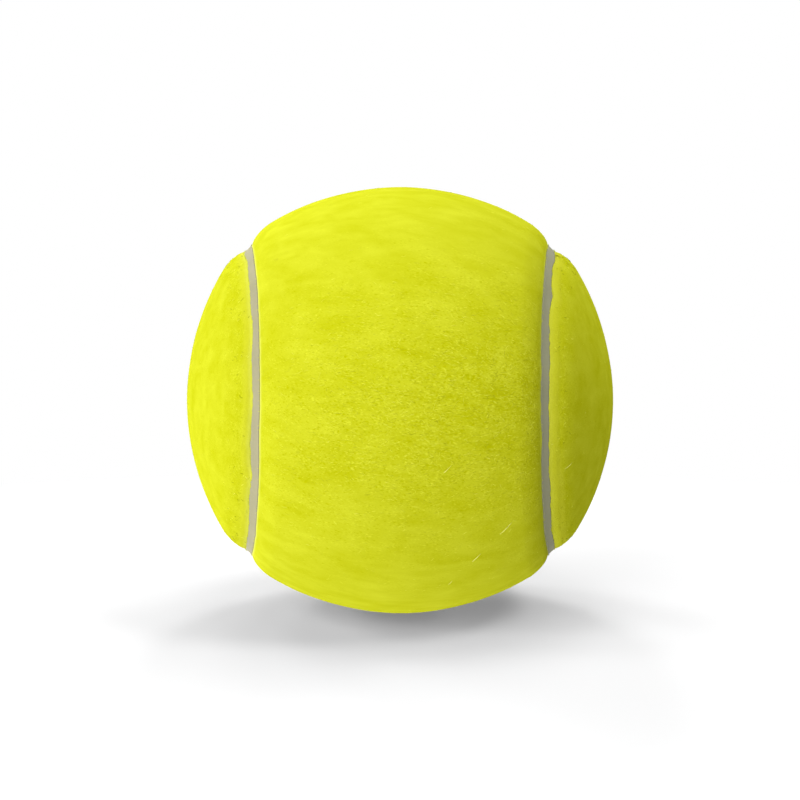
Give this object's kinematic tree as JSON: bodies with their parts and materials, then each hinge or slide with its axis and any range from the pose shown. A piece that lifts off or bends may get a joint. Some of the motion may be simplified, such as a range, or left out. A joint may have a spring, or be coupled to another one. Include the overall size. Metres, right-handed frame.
{
  "type": "tennis ball",
  "caption": "Hollow rubber ball covered by interlocking dog-bone felt panels, with a rubber seam strip between their rolled edges.",
  "frame": {"origin": "centre of the ball", "axes": "-Y points out of the middle of the front felt panel's waist, +Z runs along that panel towards its upper lobe, and +X points out of a lobe of the rear panel; Y is the cover's four-fold mirror-turn axis"},
  "size_m": [0.066, 0.066, 0.066],
  "materials": {
    "felt": "short napped wool and nylon felt, optic yellow",
    "seam_rubber": "matt, slightly grainy cured rubber",
    "core_rubber": "matt moulded rubber",
    "adhesive": "cured rubber cement"
  },
  "bodies": {
    "root": {"core_half_upper": "core_rubber", "core_half_lower": "core_rubber", "core_bond_ring": "adhesive", "core_cement_coat": "adhesive", "panel_backing_front": "adhesive", "panel_backing_rear": "adhesive", "felt_panel_front": "felt", "felt_panel_rear": "felt", "seam_strip": "seam_rubber"}
  },
  "joints": []
}
